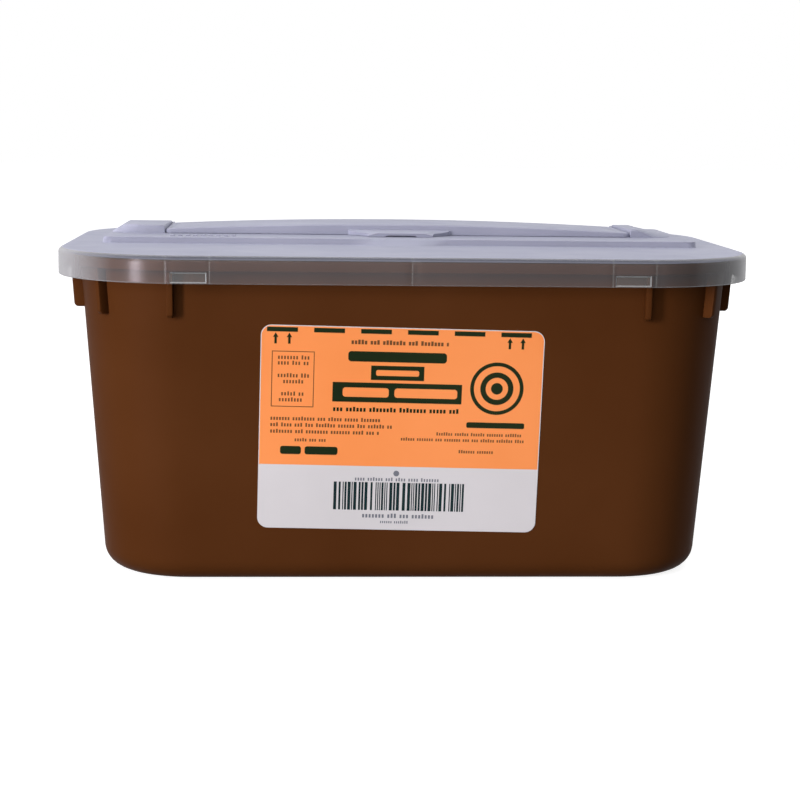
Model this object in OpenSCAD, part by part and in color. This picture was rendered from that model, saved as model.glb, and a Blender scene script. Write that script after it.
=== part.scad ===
// Sharps container: a tapered tub, a clip-down lid with a raised deck, a hinged drop door and a label.
// Millimetres, +Z up, front towards -Y, origin at the centre of the underside.

/* [Tub] */
// Outside width of the tub at its mouth
tub_top_w = 249; // [240:0.5:252]
// Outside depth of the tub at its mouth
tub_top_d = 169; // [160:0.5:172]
// Narrowing of each wall from the mouth down to the base
tub_draft = 8.5; // [5:0.5:11]
// Height of the tub to the top of its rim
tub_h = 122.6; // [116:0.1:130]
// Corner radius at the mouth
tub_corner_r = 38; // [34:1:42]
// Radius of the rounded edge between the walls and the base
base_fillet = 8; // [5:1:12]
// Wall and floor thickness
wall = 2; // [1.6:0.1:2.4]

/* [Rim] */
// Reach of the rim beyond the tub wall
rim_reach = 6.7; // [6:0.1:7]
// Thickness of the rim plate and of its turned-down lip
rim_t = 1.8; // [1.4:0.1:2.2]
// Height of the turned-down lip
lip_h = 4.1; // [3:0.1:5]

/* [Ribs under the rim] */
// Thickness of each rib
rib_t = 2.2; // [1.6:0.1:3]
// Height of the ribs' lower ends above the ground
rib_low_z = 101.3; // [95:0.1:110]
// Reach of each rib from the wall
rib_reach = 4; // [2:0.5:5]
// Distance of the ribs on the long walls from the middle
rib_x = 88; // [60:1:90]
// Distance of the ribs on the end walls from the middle
rib_y = 46; // [20:1:48]

/* [Lid] */
// Depth of the lid's skirt
skirt_h = 10.3; // [8:0.1:12]
// Thickness of the skirt
skirt_t = 1.5; // [1.2:0.1:2]
// Thickness of the lid's top
deck_t = 1.6; // [1.2:0.1:2]
// Width of the raised deck
raised_w = 236; // [220:1:240]
// Front edge of the raised deck, behind the lid's middle
raised_front_y = -28; // [-40:1:-15]
// Back edge of the raised deck
raised_back_y = 60; // [50:1:70]
// Rise of the raised deck
raised_h = 2.5; // [1.5:0.1:4]
// Width of each clip catch
catch_w = 13.3; // [10:0.1:18]
// Distance of the catches on the long sides from the middle
catch_x = 81; // [50:1:84]

/* [Door] */
// Length of the drop opening
opening_w = 180; // [140:1:182]
// Width of the drop opening
opening_d = 38; // [25:1:38]
// Length of the door
door_w = 190; // [184:0.5:192]
// Front edge of the door
door_front_y = -4; // [-6:0.5:-2]
// Distance of the pivot axis behind the lid's middle
pivot_y = 41; // [40:0.5:42]
// Height of the arched door above the ground at its middle
door_top_z = 131.2; // [130.8:0.1:132]
// Fall of the arch from its middle to the door's ends
door_crown = 2.4; // [1:0.1:2.6]
// Radius of the door's pivot pins
pin_r = 1; // [0.8:0.05:1]
// Running clearance of the pivot pins
pin_gap = 0.05; // [0.02:0.01:0.1]

/* [Label] */
// Width of the label
label_w = 105.2; // [80:0.1:120]
// Height of the label
label_h = 77.6; // [60:0.1:85]
// Thickness of the label
label_t = 0.25; // [0.15:0.05:0.5]

/* [Hidden] */
$fn = 64;
eps = 0.01;

tub_base_r = tub_corner_r - 4;
slope = tub_draft / tub_h;
draft_angle = atan(slope);
function half_w(z) = tub_top_w / 2 - slope * (tub_h - z);
function half_d(z) = tub_top_d / 2 - slope * (tub_h - z);
function corner_r(z) = tub_base_r + (tub_corner_r - tub_base_r) * z / tub_h;

rim_w = tub_top_w + 2 * rim_reach;
rim_d = tub_top_d + 2 * rim_reach;
rim_r = tub_corner_r + rim_reach + 3.5;
foot_inset = 22;
foot_rise = 0.6;

skirt_gap = 0.3;
lid_w = rim_w + 2 * (skirt_gap + skirt_t);
lid_d = rim_d + 2 * (skirt_gap + skirt_t);
lid_r = rim_r + skirt_gap + skirt_t;
deck_z = tub_h + 0.3 + deck_t;
skirt_z = deck_z - skirt_h;
raised_z = deck_z + raised_h;
raised_r = 4;
catch_h = 4.2;
catch_recess = 0.5;
catch_hook = 0.2;
spigot_t = 1.3;
spigot_h = 4.5;
spigot_gap = 0.5;

cheek_in = door_w / 2 + 0.35;
cheek_flat_left = 16.5;
cheek_w_left = 22;
cheek_flat_right = 4;
cheek_w_right = 18;
cheek_h = 3.3;
cheek_back_h = 2.6;
cheek_front_y = -4;
cheek_back_y = 44;
ramp_w = 28;
ramp_reach = 7;
pip_count = 9;

opening_r = 6;
door_t = 1.5;
door_gap = 0.15;
door_corner_r = 2.5;
door_low_z = raised_z + door_gap;
pivot_z = raised_z + 1.2;
pin_reach = 5;
pin_root = 9;
crown_r = pow(door_w / 2, 2) / (2 * door_crown);
tab_root_w = 42;
tab_tip_w = 26;
tab_reach = 12;
tab_t = 1.75;
notch_w = 13;
notch_h = 0.8;
notch_depth = 5;

label_x = -3;
label_z = 59.1;
label_turn = 1.1;
label_r = 4;
label_gap = 0.02;

// Rectangle with rounded corners, centred, built from squares and true circles.
module round_rect(w, d, r) {
    square([w - 2 * r, d], center = true);
    square([w, d - 2 * r], center = true);
    for (x = [-1, 1], y = [-1, 1])
        translate([x * (w / 2 - r), y * (d / 2 - r)]) circle(r);
}

// Upright ring of a given wall, outside size w by d, from z to z + h.
module ring(w, d, r, t, z, h) {
    translate([0, 0, z]) linear_extrude(h) difference() {
        round_rect(w, d, r);
        round_rect(w - 2 * t, d - 2 * t, r - t);
    }
}

// Thin slice of the tub's tapered form at height z, drawn in by inset.
module tub_slice(z, inset) {
    translate([0, 0, z]) linear_extrude(eps)
        round_rect(2 * (half_w(z) - inset), 2 * (half_d(z) - inset), corner_r(z) - inset);
}

// Tapered solid with a rounded lower edge; inset is the wall taken off all round.
module tub_form(inset, top_z) {
    r = base_fillet;
    hull() {
        tub_slice(top_z, inset);
        for (a = [0 : 15 : 90])
            tub_slice(inset + (r - inset) * (1 - sin(a)), inset + (r - inset) * (1 - cos(a)));
    }
}

// Vertical rib of the tub; wall_top is the wall's distance at the mouth, fall is its draft per millimetre.
module rib(wall_top, fall) {
    top_z = tub_h - rim_t / 2;
    low_wall = wall_top - fall * (tub_h - rib_low_z);
    high_wall = wall_top - fall * (tub_h - top_z);
    rotate([90, 0, 0]) linear_extrude(rib_t, center = true) polygon([
        [low_wall - wall / 2, rib_low_z],
        [low_wall + rib_reach - 1, rib_low_z],
        [low_wall + rib_reach, rib_low_z + 1],
        [high_wall + rib_reach, top_z],
        [high_wall - wall / 2, top_z]
    ]);
}

// Three ribs round each of the four corners.
module ribs() {
    corner_fall = slope * sqrt(2) + (tub_corner_r - tub_base_r) * (1 - sqrt(2)) / tub_h;
    for (x = [-1, 1], y = [-1, 1]) {
        translate([x * rib_x, 0, 0]) rotate([0, 0, y * 90]) rib(tub_top_d / 2, slope);
        translate([0, y * rib_y, 0]) rotate([0, 0, 90 - x * 90]) rib(tub_top_w / 2, slope);
        translate([x * (tub_top_w / 2 - tub_corner_r), y * (tub_top_d / 2 - tub_corner_r), 0])
            rotate([0, 0, y * (90 - x * 45)]) rib(tub_corner_r, corner_fall);
    }
}

module tub() {
    color([0.30, 0.16, 0.08]) difference() {
        union() {
            tub_form(0, tub_h - eps);
            ring(rim_w, rim_d, rim_r, rim_reach + wall / 2, tub_h - rim_t, rim_t);
            ring(rim_w, rim_d, rim_r, rim_t, tub_h - lip_h, lip_h);
            ribs();
        }
        tub_form(wall, tub_h + 1);
        translate([0, 0, -eps]) linear_extrude(foot_rise + eps)
            round_rect(2 * half_w(0) - 2 * foot_inset, 2 * half_d(0) - 2 * foot_inset, tub_base_r / 2);
    }
}

// Places its children at each clip catch, with +X pointing out of the lid.
module at_catches() {
    for (y = [-1, 1], x = [-1, 1])
        translate([x * catch_x, y * lid_d / 2, skirt_z]) rotate([0, 0, y * 90]) children();
    for (x = [-1, 1])
        translate([x * lid_w / 2, 0, skirt_z]) rotate([0, 0, 90 - x * 90]) children();
}

// Side cheek that carries one end of the door, sloped on its outer side beyond the flat.
module cheek(flat, w) {
    intersection() {
        translate([0, cheek_back_y, raised_z - eps]) rotate([90, 0, 0])
            linear_extrude(cheek_back_y - cheek_front_y) polygon([
                [cheek_in, 0], [cheek_in + w, 0],
                [cheek_in + flat, cheek_h], [cheek_in, cheek_h]
            ]);
        translate([cheek_in - 1, 0, raised_z - eps]) rotate([90, 0, 90])
            linear_extrude(w + 2) polygon([
                [cheek_front_y, 0], [cheek_back_y, 0],
                [cheek_back_y, cheek_back_h], [cheek_front_y + 1, cheek_h], [cheek_front_y, cheek_h - 1]
            ]);
    }
}

// Sloped finger ramp against the front of the raised deck.
module ramp() {
    translate([-ramp_w / 2, raised_front_y, deck_z]) rotate([90, 0, 90])
        linear_extrude(ramp_w) polygon([[-ramp_reach, 0], [1, 0], [1, raised_h], [0, raised_h]]);
}

// Row of plain raised marks on the front strip of the raised deck.
module pips() {
    for (i = [0 : pip_count - 1])
        translate([-92 + i * 3, raised_front_y + 7, raised_z - eps])
            linear_extrude(0.5) square([1.8, 4]);
}

module raised_plate(inset, z, h) {
    d = raised_back_y - raised_front_y;
    translate([0, (raised_front_y + raised_back_y) / 2, z]) linear_extrude(h)
        round_rect(raised_w - 2 * inset, d - 2 * inset, raised_r - inset);
}

module lid() {
    spigot_w = 2 * (half_w(tub_h - spigot_h) - wall - spigot_gap);
    spigot_d = 2 * (half_d(tub_h - spigot_h) - wall - spigot_gap);
    color([0.78, 0.78, 0.86, 0.6]) difference() {
        union() {
            ring(lid_w, lid_d, lid_r, skirt_t, skirt_z, skirt_h);
            translate([0, 0, deck_z - deck_t]) linear_extrude(deck_t) round_rect(lid_w, lid_d, lid_r);
            ring(spigot_w, spigot_d, tub_corner_r - wall - spigot_gap, spigot_t,
                deck_z - deck_t - spigot_h, spigot_h + eps);
            raised_plate(0, deck_z - eps, raised_h + eps);
            ramp();
            pips();
            cheek(cheek_flat_right, cheek_w_right);
            mirror([1, 0, 0]) cheek(cheek_flat_left, cheek_w_left);
            at_catches() translate([-skirt_t - catch_hook, -catch_w / 2, 0])
                cube([skirt_t, catch_w, catch_h]);
        }
        raised_plate(deck_t, deck_z - deck_t - 1, raised_h + 1);
        translate([0, opening_d / 2, deck_z]) linear_extrude(2 * raised_h, center = true)
            round_rect(opening_w, opening_d, opening_r);
        for (x = [0, 1]) mirror([x, 0, 0])
            translate([cheek_in - 1, pivot_y, pivot_z]) rotate([0, 90, 0])
                cylinder(r = pin_r + pin_gap, h = pin_reach + 1.6);
        at_catches() translate([-catch_recess, -catch_w / 2, -1])
            cube([1, catch_w, catch_h + 1]);
    }
}

// Half space under an arch that spans the door, dropped by lower.
module under_arch(lower) {
    translate([0, 100, door_top_z - lower - crown_r]) rotate([90, 0, 0])
        cylinder(r = crown_r, h = 200, $fn = 1440);
}

// Outline of the door, drawn in by inset.
module door_plan(inset) {
    d = pivot_y - door_front_y;
    translate([0, (pivot_y + door_front_y) / 2])
        round_rect(door_w - 2 * inset, d - 2 * inset, door_corner_r - inset);
}

// Thumb tab, wider at its root, with a finger notch under the middle of its tip.
module tab() {
    tip_y = door_front_y - tab_reach;
    root_y = door_front_y + door_t / 2;
    difference() {
        translate([0, 0, door_low_z]) linear_extrude(tab_t) polygon([
            [-tab_root_w / 2, root_y], [-tab_root_w / 2, door_front_y],
            [-tab_tip_w / 2, tip_y], [tab_tip_w / 2, tip_y],
            [tab_root_w / 2, door_front_y], [tab_root_w / 2, root_y]
        ]);
        translate([-notch_w / 2, tip_y - 1, door_low_z - 1]) cube([notch_w, notch_depth + 1, notch_h + 1]);
    }
}

module door() {
    color([0.78, 0.78, 0.86, 0.6]) {
        difference() {
            intersection() {
                translate([0, 0, door_low_z]) linear_extrude(20) door_plan(0);
                under_arch(0);
            }
            intersection() {
                translate([0, 0, door_low_z - 1]) linear_extrude(20) door_plan(door_t);
                under_arch(door_t);
            }
        }
        tab();
        for (x = [0, 1]) mirror([x, 0, 0])
            translate([door_w / 2 - pin_root, pivot_y, pivot_z]) rotate([0, 90, 0])
                cylinder(r = pin_r, h = pin_root + pin_reach);
    }
}

module label_front() {
    color([0.95, 0.55, 0.30])
        translate([label_x, -half_d(label_z) - label_gap, label_z])
            rotate([90 + draft_angle, 0, 0]) rotate([0, 0, -label_turn])
                linear_extrude(label_t) round_rect(label_w, label_h, label_r);
}

tub();
lid();
door();
label_front();
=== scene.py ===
"""Sharps container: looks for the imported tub, lid, door and label.

Lengths are in millimetres in the part's own frame, and become metres when a mesh is made. The floor, the
lights and the depths of bumps are in metres.
"""

import math
import random

import bmesh
import bpy
from mathutils import Matrix, Vector


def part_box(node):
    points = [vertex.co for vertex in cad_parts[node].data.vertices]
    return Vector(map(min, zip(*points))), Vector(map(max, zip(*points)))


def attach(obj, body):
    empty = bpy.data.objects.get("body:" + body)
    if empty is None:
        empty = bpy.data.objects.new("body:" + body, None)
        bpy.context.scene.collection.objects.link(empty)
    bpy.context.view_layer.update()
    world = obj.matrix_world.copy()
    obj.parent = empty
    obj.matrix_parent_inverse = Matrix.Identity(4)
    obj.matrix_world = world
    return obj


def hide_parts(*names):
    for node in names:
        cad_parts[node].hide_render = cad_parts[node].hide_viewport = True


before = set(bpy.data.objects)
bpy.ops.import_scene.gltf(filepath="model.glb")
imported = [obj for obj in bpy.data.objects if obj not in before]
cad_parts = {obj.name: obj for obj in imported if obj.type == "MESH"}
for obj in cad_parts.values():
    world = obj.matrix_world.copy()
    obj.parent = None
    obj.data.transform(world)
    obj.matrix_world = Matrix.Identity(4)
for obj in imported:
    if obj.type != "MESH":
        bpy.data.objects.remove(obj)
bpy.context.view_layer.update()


def plain_box(box):
    """The lowest and highest corner of a box as plain lists of numbers."""
    return [[float(c) for c in corner] for corner in box]


MM = 0.001


def node_box(node):
    """Lowest and highest corner of a CAD node, in millimetres."""
    return [[c / MM for c in corner] for corner in plain_box(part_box(node))]


TUB_HIGH = node_box("tub")[1]
LID_LOW, LID_HIGH = node_box("lid")
DOOR_LOW, DOOR_HIGH = node_box("door")

# Tub
TUB_H = TUB_HIGH[2]
RIM_HW, RIM_HD = TUB_HIGH[0], TUB_HIGH[1]
RIM_REACH, RIM_T, LIP_H, LIP_EASE = 6.7, 1.8, 4.1, 0.4
RIM_TOP_R, RIM_UNDER_R = 0.9, 0.8
MOUTH_HW, MOUTH_HD = RIM_HW - RIM_REACH, RIM_HD - RIM_REACH
MOUTH_R, BASE_R = 38.0, 34.0
RIM_R = MOUTH_R + RIM_REACH + 3.5
DRAFT = 8.5 / TUB_H  # how far a wall leans out for each millimetre of height
WALL, MOUTH_EASE, FILLET = 2.0, 0.5, 8.0
FOOT_INSET, FOOT_RISE, FOOT_EASE = 22.0, 0.6, 1.0
RIB_T, RIB_REACH, RIB_LOW_Z, RIB_EASE = 2.2, 4.0, 101.3, 0.35
RIB_X, RIB_Y = 88.0, 46.0

# Lid
LID_HW, LID_HD = LID_HIGH[0], LID_HIGH[1]
LID_R = RIM_R + 1.8
SKIRT_Z, DECK_Z = LID_LOW[2], LID_LOW[2] + 10.3
SKIRT_T, SKIRT_EASE, DECK_T = 1.5, 0.3, 1.6
EDGE_R = 2.0
CLEAR_TOP_Z = DECK_Z - 0.08 * EDGE_R  # the clear skirt turns milky above this height
SPIGOT_H, SPIGOT_T, SPIGOT_GAP = 4.5, 1.3, 0.5
RAISED_HW, RAISED_FRONT, RAISED_BACK, RAISED_H = 118.0, -28.0, 60.0, 2.5
RAISED_Z = DECK_Z + RAISED_H
RAISED_R = 4.0
OPENING_HW, OPENING_D, OPENING_R = 90.0, 38.0, 6.0
CATCH_X, CATCH_W, CATCH_H, CATCH_DEPTH, CATCH_FRAME = 81.0, 13.3, 4.2, 0.5, 0.45
MOULD_LINE_X = (0.0, 73.4)
CORNER_LINE_X = 89.4
LINE_HW, LINE_DEPTH = 0.3, 0.16
RAMP_HW, RAMP_REACH, RAMP_SOFT_IN, RAMP_SOFT = 14.0, 7.0, 5.0, 7.0
PIP_COUNT, PIP_PITCH, PIP_X, PIP_Y = 9, 3.0, -91.1, RAISED_FRONT + 9
PIP_W, PIP_D, PIP_T, PIP_EASE = 1.8, 3.4, 0.55, 0.2
CHEEK_IN = 95.35
CHEEK_FRONT, CHEEK_BACK, CHEEK_H, CHEEK_BACK_H = -4.0, 44.0, 3.3, 2.6
CHEEK_W, CHEEK_FLAT = {1: 18.0, -1: 22.0}, {1: 4.0, -1: 16.5}  # right and left, seen from the front
CHEEK_NOSE, CHEEK_EASE = 10.0, 1.2

# Door
DOOR_HW, DOOR_FRONT, DOOR_BACK = 95.0, -4.0, 41.0
DOOR_TOP, DOOR_CROWN, DOOR_R, DOOR_T = DOOR_HIGH[2], 2.4, 2.5, 1.5
DOOR_Z = DOOR_LOW[2]
RIDGE_OUT, RIDGE_IN, RIDGE_DEPTH = 1.9, 3.6, 0.25  # groove that runs round inside the door's edge
TAB_ROOT_HW, TAB_TIP_HW, TAB_REACH, TAB_T = 21.0, 13.0, 12.0, 1.75
NOTCH_HW, NOTCH_H, NOTCH_START = 6.5, 0.5, 0.65
PIN_R, PIN_BORE_R, PIN_Z, PIN_END = 1.0, 1.05, RAISED_Z + 1.2, 100.0
BORE_PAST_PIN, PIN_OVERLAP, ROUND_SIDES = 1.2, 1.0, 32

# Label
LABEL_W, LABEL_H, LABEL_T, LABEL_R = 105.2, 77.6, 0.25, 4.0
LABEL_X, LABEL_Z, LABEL_TURN = -3.0, 59.1, math.radians(1.1)
LABEL_GAP = 0.02
FIELD_INSET, FIELD_FOOT = 0.3, 0.682  # the orange field stops at this share of the label's height
FIELD_LAYER = (LABEL_T + 0.002, LABEL_T + 0.022)
INK_LAYER = (LABEL_T + 0.024, LABEL_T + 0.05)
LOW_INK_LAYER = (LABEL_T + 0.002, LABEL_T + 0.03)
BLANK_LAYER = (LABEL_T + 0.052, LABEL_T + 0.07)
STRIPE_MODULE = 0.375 / LABEL_W
PRINT_SEED = 7

# Camera, solved from the outlines of the lid and the tub
CAMERA_PLACE = (-42.5, -768.5, 174.1)
CAMERA_YAW, CAMERA_PITCH, CAMERA_ROLL = math.radians(-3.27), math.radians(8.55), math.radians(0.753)
CAMERA_LENS, CAMERA_SENSOR = 84.15, 36.0


# ---------------------------------------------------------------- mesh helpers


def finish_mesh(bm, name, materials, body, stands_for=(), sharp=35.0):
    """Turn a mesh in millimetres into a piece in metres that rides on a body."""
    bmesh.ops.remove_doubles(bm, verts=bm.verts, dist=1e-4)
    bmesh.ops.recalc_face_normals(bm, faces=bm.faces)
    bmesh.ops.scale(bm, vec=(MM, MM, MM), verts=bm.verts)
    mesh = bpy.data.meshes.new(name)
    bm.to_mesh(mesh)
    bm.free()
    for face in mesh.polygons:
        face.use_smooth = True
    mesh.set_sharp_from_angle(angle=math.radians(sharp))
    for material in materials:
        mesh.materials.append(material)
    obj = bpy.data.objects.new(name, mesh)
    bpy.context.scene.collection.objects.link(obj)
    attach(obj, body)
    if stands_for:
        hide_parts(*stands_for)
    return obj


def spread(count):
    """Evenly spaced stations from -1 to 1."""
    return [2 * i / count - 1 for i in range(count + 1)]


class Outline:
    """Shared stations for rounded rectangles, so that any two of them can be joined by quads."""

    def __init__(self, along_x, along_y, corner_degrees):
        self.along_x = sorted(along_x)
        self.along_y = sorted(along_y)
        self.corner = [math.radians(a) for a in corner_degrees]

    def ring(self, hw, hd, r, z, middle_y=0.0):
        """Points of a rounded rectangle, anticlockwise from the low end of its right side."""
        sx, sy = hw - r, hd - r
        turn = [math.pi / 2 - a for a in reversed(self.corner)]
        points = [(hw, f * sy) for f in self.along_y]
        points += [(sx + r * math.cos(a), sy + r * math.sin(a)) for a in turn]
        points += [(f * sx, hd) for f in reversed(self.along_x)]
        points += [(-sx - r * math.sin(a), sy + r * math.cos(a)) for a in self.corner]
        points += [(-hw, -f * sy) for f in self.along_y]
        points += [(-sx - r * math.cos(a), -sy - r * math.sin(a)) for a in turn]
        points += [(f * sx, -hd) for f in self.along_x]
        points += [(sx + r * math.sin(a), -sy - r * math.cos(a)) for a in self.corner]
        height = z if callable(z) else (lambda x: z)
        return [Vector((x, y + middle_y, height(x))) for x, y in points]

    def cap(self, bm, loop):
        """Close a ring with quads across it, front to back, and one face at each end."""
        ny, nx, nc = len(self.along_y), len(self.along_x), len(self.corner)
        long_side = nc + nx + nc
        front_start = ny + long_side + ny
        right, back = loop[:ny], loop[ny : ny + long_side]
        left, front = loop[ny + long_side : front_start], loop[front_start:][::-1]
        for i in range(len(back) - 1):
            bm.faces.new((back[i], back[i + 1], front[i + 1], front[i]))
        bm.faces.new([front[0]] + right + [back[0]])
        bm.faces.new([back[-1]] + left + [front[-1]])


def loft(bm, rings, closed=False):
    """Join rings of equal length by quads and return their vertices."""
    loops = [[bm.verts.new(p) for p in ring] for ring in rings]
    pairs = list(zip(loops, loops[1:]))
    if closed:
        pairs.append((loops[-1], loops[0]))
    count = len(loops[0])
    for a, b in pairs:
        for i in range(count):
            j = (i + 1) % count
            bm.faces.new((a[i], a[j], b[j], b[i]))
    return loops


def add_prism(bm, outline, length, matrix, bevel=0.0):
    """Closed prism of a 2D outline, centred along its length, with softened edges."""
    part = bmesh.new()
    low = [part.verts.new((x, y, -length / 2)) for x, y in outline]
    high = [part.verts.new((x, y, length / 2)) for x, y in outline]
    part.faces.new(low[::-1])
    part.faces.new(high)
    for i in range(len(outline)):
        j = (i + 1) % len(outline)
        part.faces.new((low[i], low[j], high[j], high[i]))
    if bevel:
        bmesh.ops.bevel(part, geom=part.edges[:], offset=bevel, segments=2, affect="EDGES", profile=0.5)
    part.transform(matrix)
    append(bm, part)


def append(bm, part):
    """Move the contents of one mesh under construction into another."""
    bmesh.ops.recalc_face_normals(part, faces=part.faces)
    scratch = bpy.data.meshes.new("scratch")
    part.to_mesh(scratch)
    part.free()
    bm.from_mesh(scratch)
    bpy.data.meshes.remove(scratch)


def round_step(r, degrees=(0, 30, 60, 90)):
    """Inset and drop of points round a quarter circle, from the side to the top."""
    return [(r * (1 - math.cos(math.radians(a))), r * (1 - math.sin(math.radians(a)))) for a in degrees]


def quarter(t):
    """Ease from 0 to 1 along a quarter circle: steep at first and level at the end."""
    return math.sqrt(1 - (1 - min(t, 1.0)) ** 2)


def smooth(t):
    """Ease from 0 to 1 with no slope at either end."""
    t = min(max(t, 0.0), 1.0)
    return t * t * (3 - 2 * t)


# ---------------------------------------------------------------- materials


class Nodes:
    """Small builder for procedural materials."""

    def __init__(self, name):
        self.material = bpy.data.materials.new(name)
        self.material.use_nodes = True
        self.tree = self.material.node_tree
        self.shader = next(n for n in self.tree.nodes if n.type == "BSDF_PRINCIPLED")
        self.place = self.node("ShaderNodeTexCoord").outputs["Object"]

    def node(self, kind):
        return self.tree.nodes.new(kind)

    def link(self, source, target):
        self.tree.links.new(source, target)

    def noise(self, scale, detail=3.0, stretch=(1, 1, 1)):
        mapping = self.node("ShaderNodeMapping")
        mapping.inputs["Scale"].default_value = stretch
        self.link(self.place, mapping.inputs["Vector"])
        made = self.node("ShaderNodeTexNoise")
        made.inputs["Scale"].default_value = scale
        made.inputs["Detail"].default_value = detail
        self.link(mapping.outputs["Vector"], made.inputs["Vector"])
        return made.outputs["Fac"]

    def ramp(self, factor, low, high, start=0.35, end=0.65):
        made = self.node("ShaderNodeValToRGB")
        made.color_ramp.elements[0].position = start
        made.color_ramp.elements[1].position = end
        made.color_ramp.elements[0].color = (*low, 1)
        made.color_ramp.elements[1].color = (*high, 1)
        self.link(factor, made.inputs["Fac"])
        return made.outputs["Color"]

    def remap(self, factor, low, high, start=0.3, end=0.7):
        made = self.node("ShaderNodeMapRange")
        made.inputs["From Min"].default_value = start
        made.inputs["From Max"].default_value = end
        made.inputs["To Min"].default_value = low
        made.inputs["To Max"].default_value = high
        self.link(factor, made.inputs["Value"])
        return made.outputs["Result"]

    def bump(self, height, distance, strength=1.0, under=None):
        made = self.node("ShaderNodeBump")
        made.inputs["Strength"].default_value = strength
        made.inputs["Distance"].default_value = distance
        self.link(height, made.inputs["Height"])
        if under is not None:
            self.link(under, made.inputs["Normal"])
        return made.outputs["Normal"]


def plastic(
    name,
    dark,
    light,
    rough,
    specular=0.5,
    ior=1.49,
    grain=1800.0,
    grain_depth=0.00002,
    alpha=None,
    turn=(0.04, 0.62),
):
    """Moulded plastic with faint mottling, uneven gloss and a fine grain.

    A clear plastic goes from the low to the high alpha as its surface turns away, over the stretch in turn.
    """
    n = Nodes(name)
    s = n.shader.inputs
    n.link(n.ramp(n.noise(14.0, 4.0), dark, light), s["Base Color"])
    n.link(n.remap(n.noise(60.0, 3.0, (1, 1, 0.4)), *rough), s["Roughness"])
    wave = n.bump(n.noise(22.0, 2.0), 0.0003, 0.35)
    n.link(n.bump(n.noise(grain, 2.0), grain_depth, 0.6, wave), s["Normal"])
    s["Specular IOR Level"].default_value = specular
    s["IOR"].default_value = ior
    if alpha:
        facing = n.node("ShaderNodeLayerWeight")
        facing.inputs["Blend"].default_value = 0.35
        n.link(n.remap(facing.outputs["Facing"], *alpha, *turn), s["Alpha"])
    return n.material


def clear_plastic(name, dark, light, rough, specular, **values):
    """Polished clear plastic, with a much shallower grain."""
    return plastic(name, dark, light, rough, specular, ior=1.6, grain=900.0, grain_depth=0.000003, **values)


def ink_material(name, dark, light, specular=0.06):
    """Matt print on the label."""
    return plastic(name, dark, light, (0.38, 0.5), specular)


TUB_PLASTIC = plastic(
    "tub_brown_plastic", (0.072, 0.0225, 0.0055), (0.084, 0.0275, 0.0075), (0.42, 0.56), 0.035
)
DECK_PLASTIC = plastic(
    "lid_milky_plastic", (0.39, 0.4, 0.51), (0.45, 0.46, 0.57), (0.36, 0.5), 0.25, alpha=(0.55, 0.99)
)
SKIRT_PLASTIC = clear_plastic(
    "lid_clear_skirt",
    (0.35, 0.35, 0.36),
    (0.41, 0.41, 0.42),
    (0.15, 0.24),
    0.7,
    alpha=(0.108, 0.92),
    turn=(0.15, 0.62),
)
# Lighter plastic for the fine mould lines; in the clip-catch pockets the same lighter plastic is a painted
# highlight.
MOULD_LINE_AND_POCKET_HIGHLIGHT_PLASTIC = clear_plastic(
    "lid_mould_line_and_pocket_highlight", (0.44, 0.46, 0.45), (0.5, 0.52, 0.51), (0.2, 0.3), 0.5, alpha=(0.15, 0.9)
)
# Lighter, more opaque plastic on the frames round the clip catches: a painted highlight along their edges.
CATCH_FRAME_HIGHLIGHT_PLASTIC = clear_plastic(
    "lid_catch_frame_painted_highlight", (0.4, 0.42, 0.42), (0.48, 0.5, 0.5), (0.24, 0.34), 0.5, alpha=(0.42, 0.9)
)
LABEL_PAPER = plastic(
    "label_white_film", (0.6, 0.585, 0.59), (0.66, 0.64, 0.65), (0.32, 0.42), 0.3, grain=2600.0
)
LABEL_ORANGE = plastic(
    "label_orange_print", (0.88, 0.275, 0.075), (0.94, 0.31, 0.095), (0.34, 0.44), 0.2
)
LABEL_INK = ink_material("label_dark_ink", (0.010, 0.020, 0.007), (0.016, 0.027, 0.011))
LABEL_STRIPE = ink_material("label_stripe_ink", (0.010, 0.024, 0.026), (0.016, 0.034, 0.036))
LABEL_FINE = ink_material("label_fine_ink", (0.13, 0.055, 0.018), (0.18, 0.075, 0.025), 0.2)
LABEL_GREY = ink_material("label_grey_ink", (0.13, 0.14, 0.17), (0.19, 0.20, 0.23), 0.25)


# ---------------------------------------------------------------- tub


def wall_hw(z):
    """Half width of the drafted wall's outside at a height."""
    return MOUTH_HW - DRAFT * (TUB_H - z)


def wall_hd(z):
    """Half depth of the drafted wall's outside at a height."""
    return MOUTH_HD - DRAFT * (TUB_H - z)


def wall_r(z):
    """Corner radius of the wall's outside at a height."""
    return BASE_R + (MOUTH_R - BASE_R) * z / TUB_H


def rib_outline(wall_top, fall):
    """Side view of one rib: distance from the middle against height."""
    top = TUB_H - RIM_T / 2
    low_wall = wall_top - fall * (TUB_H - RIB_LOW_Z)
    high_wall = wall_top - fall * (TUB_H - top)
    return [
        (low_wall - WALL / 2, RIB_LOW_Z),
        (low_wall + RIB_REACH - 1, RIB_LOW_Z),
        (low_wall + RIB_REACH, RIB_LOW_Z + 1),
        (high_wall + RIB_REACH, top),
        (high_wall - WALL / 2, top),
    ]


def add_rib(bm, outline, x, y, degrees):
    """A rib standing at x, y and pointing outwards at the given angle."""
    upright = Matrix.Rotation(math.radians(90), 4, "X")
    turned = Matrix.Rotation(math.radians(degrees), 4, "Z")
    add_prism(bm, outline, RIB_T, Matrix.Translation((x, y, 0)) @ turned @ upright, RIB_EASE)


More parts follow.
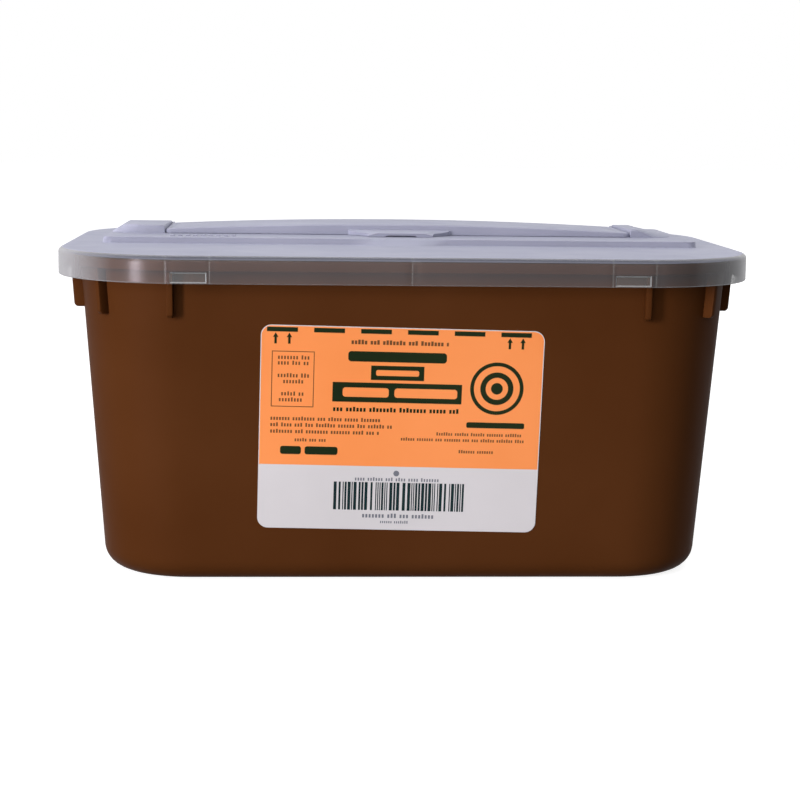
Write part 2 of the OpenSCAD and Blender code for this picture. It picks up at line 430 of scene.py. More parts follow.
def add_ribs(bm):
    """Thin upright ribs under the rim: two on each long side, two on each end and one at each corner."""
    corner_fall = DRAFT * math.sqrt(2) + (MOUTH_R - BASE_R) * (1 - math.sqrt(2)) / TUB_H
    long_rib, end_rib = rib_outline(MOUTH_HD, DRAFT), rib_outline(MOUTH_HW, DRAFT)
    corner_rib = rib_outline(MOUTH_R, corner_fall)
    for x in (-1, 1):
        for y in (-1, 1):
            add_rib(bm, long_rib, x * RIB_X, 0, y * 90)
            add_rib(bm, end_rib, 0, y * RIB_Y, 90 - x * 90)
            add_rib(bm, corner_rib, x * (MOUTH_HW - MOUTH_R), y * (MOUTH_HD - MOUTH_R), y * (90 - x * 45))


def build_tub():
    """Foot, fillet, drafted wall, rim with its lip, mouth and the inside, as one closed skin."""
    shape = Outline(spread(24), spread(16), range(6, 90, 6))

    def on_wall(z, inset=0.0):
        return shape.ring(wall_hw(z) - inset, wall_hd(z) - inset, wall_r(z) - inset, z)

    def on_rim(inset, z):
        return shape.ring(RIM_HW - inset, RIM_HD - inset, RIM_R - inset, z)

    def on_foot(inset, z):
        hw, hd = wall_hw(0) - FOOT_INSET, wall_hd(0) - FOOT_INSET
        return shape.ring(hw - inset, hd - inset, BASE_R / 2 - inset, z)

    rings = [on_foot(FOOT_EASE, FOOT_RISE), on_foot(0.7 * FOOT_EASE, FOOT_RISE), on_foot(0, 0.0)]
    for degrees in range(0, 91, 10):
        a = math.radians(degrees)
        rings.append(on_wall(FILLET * (1 - math.cos(a)), FILLET * (1 - math.sin(a))))
    under_rim, lip_z = TUB_H - RIM_T, TUB_H - LIP_H
    for step in range(1, 11):
        rings.append(on_wall(FILLET + (under_rim - RIM_UNDER_R - FILLET) * step / 10))
    rings += [on_wall(under_rim - RIM_UNDER_R / 4, -RIM_UNDER_R / 4), on_wall(under_rim, -RIM_UNDER_R)]
    rings += [on_rim(RIM_T, under_rim), on_rim(RIM_T, lip_z + LIP_EASE), on_rim(RIM_T - LIP_EASE, lip_z)]
    rings += [on_rim(LIP_EASE, lip_z), on_rim(0.0, lip_z + LIP_EASE)]
    rings += [on_rim(inset, TUB_H - drop) for inset, drop in round_step(RIM_TOP_R)]
    mouth_hw, mouth_hd = wall_hw(TUB_H) - WALL + MOUTH_EASE, wall_hd(TUB_H) - WALL + MOUTH_EASE
    rings.append(shape.ring(mouth_hw, mouth_hd, MOUTH_R - WALL + MOUTH_EASE, TUB_H))
    rings.append(on_wall(TUB_H - MOUTH_EASE, WALL))
    for step in range(1, 10):
        rings.append(on_wall(TUB_H - (TUB_H - FILLET) * step / 9, WALL))
    inner = FILLET - WALL
    for degrees in range(75, -1, -15):
        a = math.radians(degrees)
        rings.append(on_wall(WALL + inner * (1 - math.cos(a)), WALL + inner * (1 - math.sin(a))))
    bm = bmesh.new()
    loops = loft(bm, rings)
    shape.cap(bm, loops[0])
    shape.cap(bm, loops[-1])
    add_ribs(bm)
    finish_mesh(bm, "tub_shell", [TUB_PLASTIC], "tub", ["tub"])


# ---------------------------------------------------------------- lid


def lid_outline():
    """Stations with extra ones at the clip catches and at the fine mould lines."""
    straight = LID_HW - LID_R
    catch_in = (CATCH_X - CATCH_W / 2) / straight
    lines = [x / straight for x in MOULD_LINE_X]
    along_x = {round(f, 5) for f in spread(40) if abs(abs(f) - catch_in) > 0.03}
    for f in [catch_in] + lines:
        for side in (-1, 1):
            along_x.add(round(side * f, 5))
    for f in lines:
        for side in (-1, 1):
            for step in (-LINE_HW, LINE_HW):
                along_x.add(round(side * f + step / straight, 5))
    straight_y = LID_HD - LID_R
    catch_y = CATCH_W / 2 / straight_y
    along_y = {round(f, 5) for f in spread(22) if abs(abs(f) - catch_y) > 0.04}
    along_y |= {round(-catch_y, 5), round(catch_y, 5)}
    corner = [3.0, math.degrees(math.asin((CATCH_X + CATCH_W / 2 - straight) / LID_R)), 7.0, 7.35, 7.7]
    corner += [a for a in range(12, 90, 6)] + [87.0]
    return Outline(along_x, along_y, corner)


def soften_ramp(ring, share, foot):
    """Draw the front of the raised deck forward into a finger ramp."""
    for p in ring:
        if abs(p.y - foot) < 1.0 and p.y < 0:
            across = 1 - smooth((abs(p.x) - RAMP_HW + RAMP_SOFT_IN) / RAMP_SOFT)
            p.y -= RAMP_REACH * share * across


def line_distance(x):
    """How far a place along the skirt's long side is from the nearest fine mould line."""
    return min(abs(abs(x) - line) for line in MOULD_LINE_X + (CORNER_LINE_X,))


def press_lines(loops):
    """Press the fine upright mould lines into the skirt's outer face."""
    for loop in loops:
        for v in loop:
            if line_distance(v.co.x) < 0.12 and abs(v.co.y) > LID_HD - 2:
                v.co.y -= math.copysign(LINE_DEPTH, v.co.y)


def is_mould_line(c):
    """Whether a face centre on the skirt's outside belongs to one of the fine mould lines."""
    return line_distance(c.x) < LINE_HW and abs(c.y) > LID_HD - 1.2


def is_clear(c):
    """Whether a face centre is in the clear skirt: below the deck and within the skirt's thickness."""
    if c.z > CLEAR_TOP_Z:
        return False
    within = SKIRT_T + 0.6
    dx, dy = abs(c.x) - (LID_HW - LID_R), abs(c.y) - (LID_HD - LID_R)
    at_corner = dx > 0 and dy > 0 and math.hypot(dx, dy) > LID_R - within
    return at_corner or max(abs(c.x) - LID_HW, abs(c.y) - LID_HD) > -within


def catch_faces(bm, low, high):
    """Faces of the skirt's outside between two heights, in one group for each clip catch."""
    found = {}
    for face in bm.faces:
        c = face.calc_center_median()
        if not low < c.z < high:
            continue
        if abs(abs(c.x) - CATCH_X) < CATCH_W / 2 and abs(c.y) > LID_HD - 0.9:
            found.setdefault((c.x > 0, c.y > 0), []).append(face)
        elif abs(c.y) < CATCH_W / 2 and abs(c.x) > LID_HW - 0.4:
            found.setdefault((c.x > 0, "end"), []).append(face)
    return list(found.values())


def press_catches(bm):
    """Press the clip catches into the skirt, and return their frames and their pockets."""
    frames, pockets = set(), set()
    for faces in catch_faces(bm, SKIRT_Z + SKIRT_EASE, SKIRT_Z + CATCH_H):
        made = bmesh.ops.inset_region(
            bm, faces=faces, thickness=CATCH_FRAME, depth=-CATCH_DEPTH, use_even_offset=True
        )
        frames.update(made["faces"])
        pockets.update(faces)
    return frames, pockets


LID_MATERIALS = [DECK_PLASTIC, SKIRT_PLASTIC, CATCH_FRAME_HIGHLIGHT_PLASTIC, MOULD_LINE_AND_POCKET_HIGHLIGHT_PLASTIC]


def colour_lid(bm, frames, pockets):
    """Give each face of the lid its place in the lid's list of materials."""
    for face in bm.faces:
        c = face.calc_center_median()
        material = SKIRT_PLASTIC if is_clear(c) else DECK_PLASTIC
        # The catch frames get the lighter plastic as a painted highlight on their edges.
        if face in frames:
            material = CATCH_FRAME_HIGHLIGHT_PLASTIC
        # The catch pockets get the lighter mould-line plastic as a painted highlight in them.
        elif face in pockets or material is SKIRT_PLASTIC and is_mould_line(c):
            material = MOULD_LINE_AND_POCKET_HIGHLIGHT_PLASTIC
        face.material_index = LID_MATERIALS.index(material)


def cheek_mesh(side):
    """One side cheek: a sloped block with a rounded front and a blind bore for the door's pin."""
    flat = CHEEK_FLAT[side]
    rings = []
    length = CHEEK_BACK - CHEEK_FRONT
    front = [0, 0.4, CHEEK_EASE, 2.5, 4.5, 7, CHEEK_NOSE]
    for along in front + [length - CHEEK_EASE, length - 0.4, length]:
        belly = 0.35 + 0.65 * quarter(along / CHEEK_NOSE)
        h = CHEEK_H + (CHEEK_BACK_H - CHEEK_H) * along / length
        rise = h * (0.78 + 0.22 * quarter(along / CHEEK_EASE))
        rise -= 0.5 * (1 - quarter((length - along) / CHEEK_EASE))
        w = CHEEK_W[side] * belly
        f = w - (w - flat * belly) * rise / CHEEK_H  # where the flat top meets the outer slope
        y = CHEEK_FRONT + along
        profile = [(0, -0.05), (w, -0.05), (w - 0.2, 0.25), (f + 0.9, rise - 0.35), (f, rise), (0.5, rise)]
        profile += [(0.12, rise - 0.12), (0, rise - 0.5)]
        rings.append([Vector((side * (CHEEK_IN + x), y, RAISED_Z + z)) for x, z in profile])
    bm = bmesh.new()
    loops = loft(bm, rings)
    bm.faces.new(loops[0])
    bm.faces.new(loops[-1])
    bmesh.ops.recalc_face_normals(bm, faces=bm.faces)
    return bm


def rod(radius, x0, x1, y, z, round_end=0.0):
    """Closed round bar along X, with its far end softened."""
    bm = bmesh.new()
    steps = [(x0, radius), (x1 - math.copysign(round_end, x1 - x0), radius)]
    if round_end:
        steps.append((x1, radius - round_end))
    loops = []
    for x, r in steps:
        turn = [2 * math.pi * i / ROUND_SIDES for i in range(ROUND_SIDES)]
        loops.append([Vector((x, y + r * math.cos(a), z + r * math.sin(a))) for a in turn])
    made = loft(bm, loops)
    bm.faces.new(made[0])
    bm.faces.new(made[-1])
    bmesh.ops.recalc_face_normals(bm, faces=bm.faces)
    return bm


def cut(bm, cutter):
    """Take one closed mesh away from another."""
    objects = []
    for part in (bm, cutter):
        mesh = bpy.data.meshes.new("scratch")
        part.to_mesh(mesh)
        part.free()
        objects.append(bpy.data.objects.new("scratch", mesh))
        bpy.context.scene.collection.objects.link(objects[-1])
    modifier = objects[0].modifiers.new("cut", "BOOLEAN")
    modifier.operation, modifier.solver, modifier.object = "DIFFERENCE", "EXACT", objects[1]
    evaluated = objects[0].evaluated_get(bpy.context.evaluated_depsgraph_get())
    result = bmesh.new()
    result.from_mesh(evaluated.to_mesh())
    evaluated.to_mesh_clear()
    for obj in objects:
        mesh = obj.data
        bpy.data.objects.remove(obj)
        bpy.data.meshes.remove(mesh)
    return result


def add_pips(bm):
    """Plain raised marks on the front strip of the raised deck."""
    bar = [(x * PIP_W / 2, y * PIP_D / 2) for x, y in ((-1, -1), (1, -1), (1, 1), (-1, 1))]
    for i in range(PIP_COUNT):
        place = Matrix.Translation((PIP_X + PIP_PITCH * i, PIP_Y, RAISED_Z + PIP_EASE))
        add_prism(bm, bar, PIP_T, place, PIP_EASE)


def lid_rings(shape):
    """Rings round the lid's whole section: skirt, deck, raised deck, opening, underside and spigot."""
    middle = (RAISED_FRONT + RAISED_BACK) / 2
    raised_hd = (RAISED_BACK - RAISED_FRONT) / 2

    def on_skirt(inset, z):
        return shape.ring(LID_HW - inset, LID_HD - inset, LID_R - inset, z)

    def on_raised(out, z, share=None):
        ring = shape.ring(RAISED_HW + out, raised_hd + out, RAISED_R + max(out, -3), z, middle)
        if share is not None:
            soften_ramp(ring, share, RAISED_FRONT - out)
        return ring

    def on_opening(out, z):
        return shape.ring(OPENING_HW + out, OPENING_D / 2 + out, OPENING_R + out, z, OPENING_D / 2)

    def on_spigot(inset, z):
        gap = DRAFT * SPIGOT_H + WALL + SPIGOT_GAP + inset
        return shape.ring(MOUTH_HW - gap, MOUTH_HD - gap, MOUTH_R - WALL - SPIGOT_GAP - inset, z)

    catch_top, under_deck = SKIRT_Z + CATCH_H, DECK_Z - DECK_T
    skirt_low, spigot_z = SKIRT_Z + SKIRT_EASE, under_deck - SPIGOT_H
    spigot_low = spigot_z + SKIRT_EASE
    # Outside of the skirt, its rounded top edge and the deck
    rings = [on_skirt(SKIRT_EASE, SKIRT_Z), on_skirt(0.0, skirt_low), on_skirt(0.0, catch_top)]
    rings.append(on_skirt(0.0, DECK_Z - EDGE_R - 1.5))
    rings += [on_skirt(inset, DECK_Z - drop) for inset, drop in round_step(EDGE_R, (0, 18, 36, 54, 72, 90))]
    rings += [on_skirt(3.5, DECK_Z), on_skirt(7.0, DECK_Z)]
    # Riser of the raised deck, whose middle is drawn forward into the ramp, and the raised deck
    rings += [on_raised(1.0, DECK_Z, 1.0), on_raised(0.35, DECK_Z + 0.1, 0.95)]
    rings += [on_raised(0.1, DECK_Z + 0.45, 0.8), on_raised(0.0, RAISED_Z - 0.7, 0.25)]
    rings += [on_raised(-0.2, RAISED_Z - 0.2, 0.06), on_raised(-0.7, RAISED_Z, 0.0)]
    rings.append(on_raised(-6.0, RAISED_Z))
    # Drop opening, underside and spigot
    rings += [on_opening(0.4, RAISED_Z), on_opening(0.0, RAISED_Z - 0.4), on_opening(0.0, RAISED_Z - DECK_T)]
    rings += [on_raised(-DECK_T, RAISED_Z - DECK_T), on_raised(-DECK_T, under_deck)]
    rings += [on_spigot(SPIGOT_T, under_deck), on_spigot(SPIGOT_T, spigot_low)]
    rings += [on_spigot(SPIGOT_T - SKIRT_EASE, spigot_z), on_spigot(SKIRT_EASE, spigot_z)]
    rings += [on_spigot(0.0, spigot_low), on_spigot(0.0, under_deck)]
    # Inside of the skirt
    rings += [on_skirt(SKIRT_T, under_deck), on_skirt(SKIRT_T, catch_top), on_skirt(SKIRT_T, skirt_low)]
    rings.append(on_skirt(SKIRT_T - SKIRT_EASE, SKIRT_Z))
    return rings


def build_lid():
    """One moulding: skirt with its clip catches, deck, raised deck, side cheeks and pips."""
    bm = bmesh.new()
    loops = loft(bm, lid_rings(lid_outline()), closed=True)
    press_lines(loops[1:6])
    bmesh.ops.recalc_face_normals(bm, faces=bm.faces)
    colour_lid(bm, *press_catches(bm))
    for side in (-1, 1):
        bore_end = PIN_END + BORE_PAST_PIN
        bore = rod(PIN_BORE_R, side * (CHEEK_IN - 1), side * bore_end, DOOR_BACK, PIN_Z)
        append(bm, cut(cheek_mesh(side), bore))
    add_pips(bm)
    finish_mesh(bm, "lid_shell", LID_MATERIALS, "lid", ["lid"])


# ---------------------------------------------------------------- door


def arch(lower=0.0):
    """Height of the door's arched top, or of a surface a given depth below it."""
    crown_r = DOOR_HW**2 / (2 * DOOR_CROWN)
    return lambda x: DOOR_TOP - lower - (crown_r - math.sqrt(crown_r**2 - x * x))


def add_tab(bm):
    """Thumb tab: wider at its root, soft edged, with a finger notch under the middle of its tip."""
    root, tip = DOOR_FRONT + DOOR_T / 2, DOOR_FRONT - TAB_REACH
    columns = [-1 + i / 14 for i in range(29)]
    rows = [0, 0.06, 0.2, 0.45, 0.7, 0.9, 1.0]
    part = bmesh.new()
    top, bottom = [], []
    for t in rows:
        y = root + (tip - root) * t
        half = TAB_ROOT_HW + (TAB_TIP_HW - TAB_ROOT_HW) * smooth(t * 1.15)
        edge = 0.45 * smooth((t - 0.82) / 0.18)
        line_top, line_bottom = [], []
        for c in columns:
            x = half * c
            side_drop = 0.75 * smooth((abs(c) - 0.72) / 0.28) * smooth(t * 3)
            lift = 0.35 * (1 - t)
            z = DOOR_Z + TAB_T + lift - edge - side_drop
            notch = NOTCH_H if abs(x) < NOTCH_HW and t > NOTCH_START else 0.0
            line_top.append(part.verts.new((x, y, z)))
            line_bottom.append(part.verts.new((x, y, DOOR_Z + notch)))
        top.append(line_top)
        bottom.append(line_bottom)
    last = len(columns) - 1
    for a in range(len(rows) - 1):
        for i in range(last):
            part.faces.new((top[a][i], top[a][i + 1], top[a + 1][i + 1], top[a + 1][i]))
            part.faces.new((bottom[a][i], bottom[a + 1][i], bottom[a + 1][i + 1], bottom[a][i + 1]))
        for i in (0, last):
            part.faces.new((top[a][i], top[a + 1][i], bottom[a + 1][i], bottom[a][i]))
    for i in range(last):
        part.faces.new((top[0][i], bottom[0][i], bottom[0][i + 1], top[0][i + 1]))
        part.faces.new((top[-1][i], top[-1][i + 1], bottom[-1][i + 1], bottom[-1][i]))
    append(bm, part)


def build_door():
    """Arched plate with a turned-down edge, a shallow groove inside it, two pins and the thumb tab."""
    shape = Outline(spread(56), spread(10), range(15, 90, 15))
    middle, hd = (DOOR_FRONT + DOOR_BACK) / 2, (DOOR_BACK - DOOR_FRONT) / 2

    def at(inset, z):
        return shape.ring(DOOR_HW - inset, hd - inset, max(DOOR_R - inset, 0.6), z, middle)

    rings = [at(DOOR_T + 14, arch(DOOR_T)), at(DOOR_T + 6, arch(DOOR_T)), at(DOOR_T, arch(DOOR_T))]
    rings += [at(DOOR_T, DOOR_Z + 0.2), at(DOOR_T - 0.2, DOOR_Z), at(0.2, DOOR_Z), at(0.0, DOOR_Z + 0.2)]
    rings += [at(inset, arch(drop)) for inset, drop in round_step(0.8)]
    rings += [at(RIDGE_OUT, arch()), at(RIDGE_OUT + 0.3, arch(RIDGE_DEPTH))]
    rings += [at(RIDGE_IN - 0.4, arch(RIDGE_DEPTH)), at(RIDGE_IN, arch())]
    rings += [at(8.0, arch()), at(14.0, arch())]
    bm = bmesh.new()
    loops = loft(bm, rings)
    shape.cap(bm, loops[0])
    shape.cap(bm, loops[-1])
    for side in (-1, 1):
        pin_root = DOOR_HW - PIN_OVERLAP
        append(bm, rod(PIN_R, side * pin_root, side * PIN_END, DOOR_BACK, PIN_Z, round_end=0.25))
    add_tab(bm)
    finish_mesh(bm, "door_shell", [DECK_PLASTIC], "door", ["door"])


# ---------------------------------------------------------------- label


def label_matrix():
    """Frame of the label: X across it, Y up it, Z out of the sloping front face."""
    slope = math.atan(DRAFT)
    place = Matrix.Translation((LABEL_X, -wall_hd(LABEL_Z) - LABEL_GAP, LABEL_Z))
    return place @ Matrix.Rotation(math.radians(90) + slope, 4, "X") @ Matrix.Rotation(-LABEL_TURN, 4, "Z")


def on_label(u, v):
    """Label place from fractions: u from its left edge, v down from its top edge."""
    return ((u - 0.5) * LABEL_W, (0.5 - v) * LABEL_H)


def rounded(x0, y0, x1, y1, r, corners=(1, 1, 1, 1), steps=6):
    """Outline of a rectangle with chosen corners rounded: low right, high right, high left, low left."""
    points = []
    spots = [(x1, y0, -90), (x1, y1, 0), (x0, y1, 90), (x0, y0, 180)]
    for (x, y, start), used in zip(spots, corners):
        if not used:
            points.append((x, y))
            continue
        cx = x - r if x == x1 else x + r
        cy = y - r if y == y1 else y + r
        for i in range(steps + 1):
            a = math.radians(start + 90 * i / steps)
            points.append((cx + r * math.cos(a), cy + r * math.sin(a)))
    return points


class Sheet:
    """A printed layer: thin plates at one height over the label."""

    def __init__(self, low, high):
        self.bm = bmesh.new()
        self.low, self.high = low, high

    def plate(self, outline):
        middle = Matrix.Translation((0, 0, (self.low + self.high) / 2))
        add_prism(self.bm, outline, self.high - self.low, middle)

    def bar(self, u0, v0, u1, v1):
        x0, y1 = on_label(u0, v0)
        x1, y0 = on_label(u1, v1)
        self.plate([(x0, y0), (x1, y0), (x1, y1), (x0, y1)])

    def frame(self, u0, v0, u1, v1, line):
        """Outline of a box, as four bars of the given thickness in millimetres."""
        du, dv = line / LABEL_W, line / LABEL_H
        self.bar(u0, v0, u1, v0 + dv)
        self.bar(u0, v1 - dv, u1, v1)
        self.bar(u0, v0 + dv, u0 + du, v1 - dv)
        self.bar(u1 - du, v0 + dv, u1, v1 - dv)

    def words(self, u0, v0, u1, v1, rng, weight=0.72):
        """A line of blank copy: word-like runs of plain blocks, with no letters."""
        step = (v1 - v0) * LABEL_H * 0.72 / LABEL_W
        u = u0
        while u < u1 - step * 0.5:
            for _ in range(rng.randint(3, 8)):
                if u > u1 - step * 0.5:
                    break
                top = v0 + (v1 - v0) * rng.choice((0.0, 0.2, 0.2, 0.2, 0.2))
                self.bar(u, top, min(u + step * weight, u1), v1)
                u += step
            u += step * 0.75

    def blanks(self, spans, v0, v1):
        """Word-long plain bars with rounded ends, in place of bold lettering."""
        for u0, u1 in spans:
            x0, y1 = on_label(u0, v0)
            x1, y0 = on_label(u1, v1)
            self.plate(rounded(x0, y0, x1, y1, (y1 - y0) * 0.3))

    def ring(self, u, v, outer, inner, steps=72):
        """A flat ring, with its radii in millimetres."""
        cx, cy = on_label(u, v)
        turn = [math.radians(360 * i / steps) for i in range(steps)]
        part = bmesh.new()
        loops = []
        for r, z in ((outer, self.low), (outer, self.high), (inner, self.high), (inner, self.low)):
            loops.append([Vector((cx + r * math.cos(a), cy + r * math.sin(a), z)) for a in turn])
        loft(part, loops, closed=True)
        append(self.bm, part)

    def disc(self, u, v, r, steps=48):
        """A plain round dot, with its radius in millimetres."""
        cx, cy = on_label(u, v)
        turn = [2 * math.pi * i / steps for i in range(steps)]
        self.plate([(cx + r * math.cos(a), cy + r * math.sin(a)) for a in turn])

    def arrow(self, u, v0, v1, width):
        """A plain upward arrow."""
        x, top = on_label(u, v0)
        low = on_label(u, v1)[1]
        head, neck = width / 2, top - (top - low) * 0.42
        stem = head * 0.45
        outline = [(x - stem, low), (x + stem, low), (x + stem, neck), (x + head, neck)]
        self.plate(outline + [(x, top), (x - head, neck), (x - stem, neck)])

    def stripes(self, u, v0, end, v1, rng):
        """Upright stripes of seeded widths, which encode nothing."""
        while u < end - 3 * STRIPE_MODULE:
            width = rng.choice((1, 1, 2, 2, 3, 3)) * STRIPE_MODULE
            self.bar(u, v0, u + width, v1)
            u += width + rng.choice((1, 1, 1, 2, 3)) * STRIPE_MODULE

    def done(self, name, material):
        self.bm.transform(label_matrix())
        finish_mesh(self.bm, name, [material], "tub", sharp=20.0)


def print_heading(ink, fine, light, rng):
    """Dashes and arrows of the fill line, then the blank title blocks."""
    for i in range(6):
        u = 0.021 + 0.1648 * i
        ink.bar(u, 0.010, u + 0.108, 0.032)
    for u in (0.052, 0.100, 0.877, 0.923):
        ink.arrow(u, 0.036, 0.090, 0.019 * LABEL_W)
    fine.words(0.318, 0.062, 0.661, 0.084, rng)
    ink.blanks(((0.308, 0.656),), 0.118, 0.168)
    ink.bar(0.390, 0.186, 0.578, 0.256)
    light.blanks(((0.408, 0.560),), 0.207, 0.235)
    ink.bar(0.256, 0.270, 0.714, 0.366)
    light.blanks(((0.292, 0.455), (0.475, 0.698)), 0.295, 0.341)
    ink.words(0.260, 0.390, 0.712, 0.413, rng, 0.66)


def print_left(ink, fine, rng):
    """A small framed box of blank copy, the lines under it and two bold blanks."""
    fine.frame(0.040, 0.125, 0.190, 0.397, 0.3)
    for v, u0, u1 in ((0.145, 0.062, 0.172), (0.172, 0.062, 0.172), (0.233, 0.062, 0.176)):
        fine.words(u0, v, u1, v + 0.02, rng, 0.55)
    for v, u0, u1 in ((0.262, 0.082, 0.152), (0.322, 0.076, 0.156), (0.351, 0.068, 0.162)):
        fine.words(u0, v, u1, v + 0.02, rng, 0.55)
    for v, u1 in ((0.444, 0.440), (0.475, 0.476), (0.507, 0.426)):
        fine.words(0.040, v, u1, v + 0.019, rng, 0.6)
    fine.words(0.127, 0.549, 0.238, 0.566, rng, 0.6)
    ink.blanks(((0.076, 0.150), (0.163, 0.280)), 0.590, 0.630)


def print_right(ink, fine, rng):
    """Plain rings round a disc, with blank lines under them."""
    u, v = 0.838, 0.285
    ink.ring(u, v, 10.0, 8.6)
    ink.ring(u, v, 6.2, 4.2)
    ink.disc(u, v, 2.2)
    ink.blanks(((0.735, 0.942),), 0.453, 0.481)
    fine.words(0.630, 0.506, 0.945, 0.522, rng, 0.6)
    fine.words(0.504, 0.535, 0.945, 0.551, rng, 0.6)
    fine.words(0.712, 0.592, 0.842, 0.608, rng, 0.6)


def print_foot(grey, stripe, rng):
    """A dot and a blank line over the stripes on the white part, and two blank lines under them."""
    grey.disc(0.492, 0.716, 1.1)
    grey.words(0.345, 0.737, 0.645, 0.755, rng, 0.55)
    stripe.stripes(0.270, 0.762, 0.745, 0.902, rng)
    grey.words(0.375, 0.918, 0.635, 0.940, rng, 0.6)
    grey.words(0.440, 0.953, 0.545, 0.967, rng, 0.55)


def build_print():
    """The label's print, in layers by ink. All the blank copy shares one seeded run of draws."""
    rng = random.Random(PRINT_SEED)
    ink, fine, light = Sheet(*INK_LAYER), Sheet(*INK_LAYER), Sheet(*BLANK_LAYER)
    grey, stripe = Sheet(*LOW_INK_LAYER), Sheet(*LOW_INK_LAYER)
    print_heading(ink, fine, light, rng)
    print_left(ink, fine, rng)
    print_right(ink, fine, rng)
    print_foot(grey, stripe, rng)
    ink.done("label_print", LABEL_INK)
    fine.done("label_fine_print", LABEL_FINE)
    grey.done("label_grey_print", LABEL_GREY)
    light.done("label_light_print", LABEL_ORANGE)
    stripe.done("label_stripes", LABEL_STRIPE)


def build_label():
    """White film with the orange field over its upper part, and the print over both."""
    half_w, half_h = LABEL_W / 2, LABEL_H / 2
    film = bmesh.new()
    outline = rounded(-half_w, -half_h, half_w, half_h, LABEL_R, steps=10)
    add_prism(film, outline, LABEL_T, Matrix.Translation((0, 0, LABEL_T / 2)))
    film.transform(label_matrix())
    finish_mesh(film, "label_film", [LABEL_PAPER], "tub", ["label_front"], sharp=30.0)
    field = Sheet(*FIELD_LAYER)
    field_hw, field_top, field_foot = half_w - FIELD_INSET, half_h - FIELD_INSET, on_label(0, FIELD_FOOT)[1]
    upper_corners = (0, 1, 1, 0)
    field_r = LABEL_R - FIELD_INSET
    field.plate(rounded(-field_hw, field_foot, field_hw, field_top, field_r, upper_corners, steps=10))
    field.done("label_orange_field", LABEL_ORANGE)
    build_print()


# ---------------------------------------------------------------- stage


FLOOR_HALF, FLOOR_DROP = 6.0, 0.0002


def floor_material():
    """Pale matt floor that glows a little, so that it stays nearly white without shadows."""
    n = Nodes("floor_pale")
    s = n.shader.inputs
    n.link(n.ramp(n.noise(3.0), (0.43, 0.43, 0.43), (0.47, 0.47, 0.47)), s["Base Color"])
    s["Roughness"].default_value = 0.9
    s["Specular IOR Level"].default_value = 0.1
    s["Emission Color"].default_value = (1, 1, 1, 1)
    s["Emission Strength"].default_value = 0.85
    return n.material


def build_floor():
    """Large floor just under the object. It throws no light back on it."""
    bm = bmesh.new()
    bmesh.ops.create_grid(bm, x_segments=8, y_segments=8, size=FLOOR_HALF)
    mesh = bpy.data.meshes.new("floor")
    bm.to_mesh(mesh)
    bm.free()
    mesh.materials.append(floor_material())
    floor = bpy.data.objects.new("floor", mesh)
    floor.location.z = -FLOOR_DROP
    bpy.context.scene.collection.objects.link(floor)
    floor.visible_diffuse = floor.visible_glossy = False


def build_world():
    """Soft surround, brightest behind the object and above it, and plain white where the camera sees it."""
    world = bpy.data.worlds.new("studio")
    bpy.context.scene.world = world
    world.use_nodes = True
    nodes, link = world.node_tree.nodes, world.node_tree.links.new
    split = nodes.new("ShaderNodeSeparateXYZ")
    link(nodes.new("ShaderNodeTexCoord").outputs["Generated"], split.inputs["Vector"])
    overhead = nodes.new("ShaderNodeMath")
    overhead.operation = "MULTIPLY"
    overhead.inputs[1].default_value = 0.6
    link(split.outputs["Z"], overhead.inputs[0])
    either = nodes.new("ShaderNodeMath")
    either.operation = "MAXIMUM"
    link(split.outputs["Y"], either.inputs[0])
    link(overhead.outputs["Value"], either.inputs[1])
    ramp = nodes.new("ShaderNodeValToRGB")
    low, high = ramp.color_ramp.elements
    low.position, low.color = 0.0, (0.14, 0.14, 0.14, 1)
    high.position, high.color = 0.9, (0.7, 0.7, 0.72, 1)
    link(either.outputs["Value"], ramp.inputs["Fac"])
    lighting, seen = nodes["Background"], nodes.new("ShaderNodeBackground")
    link(ramp.outputs["Color"], lighting.inputs["Color"])
    seen.inputs["Color"].default_value = (1, 1, 1, 1)
    mix = nodes.new("ShaderNodeMixShader")
    link(nodes.new("ShaderNodeLightPath").outputs["Is Camera Ray"], mix.inputs["Fac"])
    link(lighting.outputs["Background"], mix.inputs[1])
    link(seen.outputs["Background"], mix.inputs[2])
    link(mix.outputs["Shader"], nodes["World Output"].inputs["Surface"])


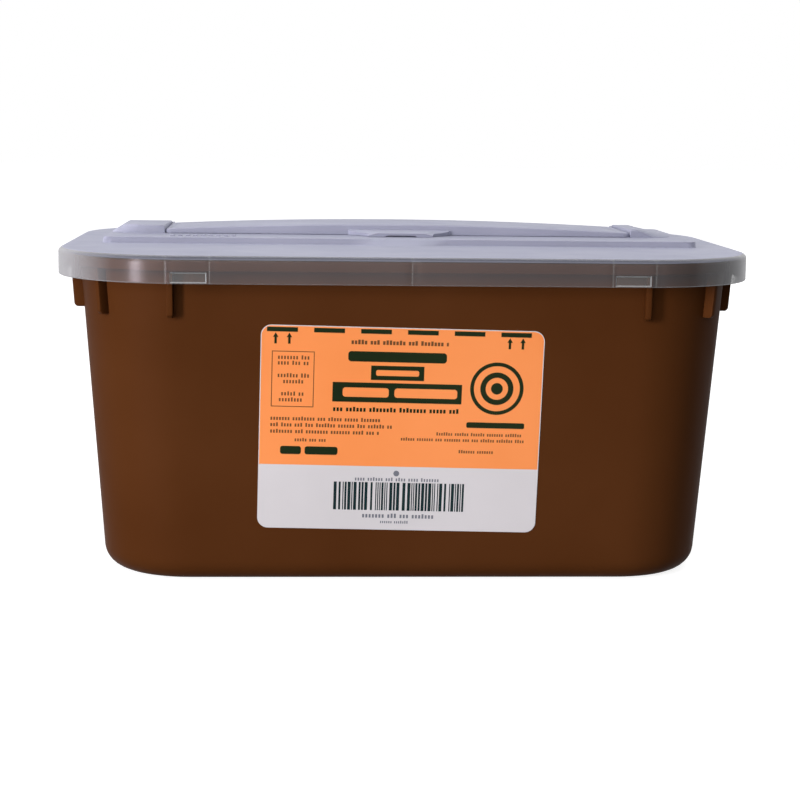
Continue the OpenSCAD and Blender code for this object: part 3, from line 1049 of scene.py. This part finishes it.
def area_light(name, place, target, size, power, colour):
    """Rectangular lamp of a size in metres, aimed from its place at a target."""
    data = bpy.data.lights.new(name, "AREA")
    data.shape = "RECTANGLE"
    data.size, data.size_y = size
    data.energy = power
    data.color = colour
    light = bpy.data.objects.new(name, data)
    light.location = place
    light.rotation_euler = (Vector(target) - Vector(place)).to_track_quat("-Z", "Y").to_euler()
    bpy.context.scene.collection.objects.link(light)
    return light


def build_lights():
    """A key from the front left without glare, a low strip that only the skirt mirrors, and soft fills."""
    white, pinkish, pink = (1.0, 1.0, 1.0), (1.0, 0.95, 1.0), (1.0, 0.9, 1.0)
    key = area_light("key_left", (-1.15, -1.13, 0.30), (-0.1, -0.08, 0.14), (0.24, 0.8), 26.0, pinkish)
    key.visible_glossy = False
    glint = area_light("skirt_glint", (-1.15, -1.13, 0.03), (-0.1, -0.08, 0.11), (0.24, 0.17), 8.5, pink)
    glint.visible_diffuse = False
    area_light("top_soft", (0.0, 0.15, 1.4), (0, 0, 0.1), (1.6, 1.2), 6.5, white)
    rear = area_light("fill_rear", (0.9, 1.5, 0.5), (0, 0, 0.06), (1.2, 0.8), 9.0, white)
    rear.visible_glossy = False
    area_light("fill_front", (-0.6, -1.8, 0.7), (0, 0, 0.07), (1.2, 0.9), 12.0, white)


def build_camera():
    """Set the camera at its place, turned by its yaw, its downward pitch and its small roll."""
    yaw, pitch, roll = CAMERA_YAW, CAMERA_PITCH, CAMERA_ROLL
    ahead = Vector((-math.sin(yaw), math.cos(yaw), 0))
    forward = math.cos(pitch) * ahead - Vector((0, 0, math.sin(pitch)))
    level = Vector((math.cos(yaw), math.sin(yaw), 0))
    above = level.cross(forward)
    right = math.cos(roll) * level + math.sin(roll) * above
    up = -math.sin(roll) * level + math.cos(roll) * above
    data = bpy.data.cameras.new("camera")
    data.sensor_width, data.lens = CAMERA_SENSOR, CAMERA_LENS
    camera = bpy.data.objects.new("camera", data)
    turned = Matrix((right, up, -forward)).transposed().to_4x4()
    camera.matrix_world = Matrix.Translation(Vector(CAMERA_PLACE) * MM) @ turned
    bpy.context.scene.collection.objects.link(camera)
    bpy.context.scene.camera = camera


bpy.context.scene.view_settings.view_transform = "Standard"
build_tub()
build_lid()
build_door()
build_label()
build_floor()
build_world()
build_lights()
build_camera()
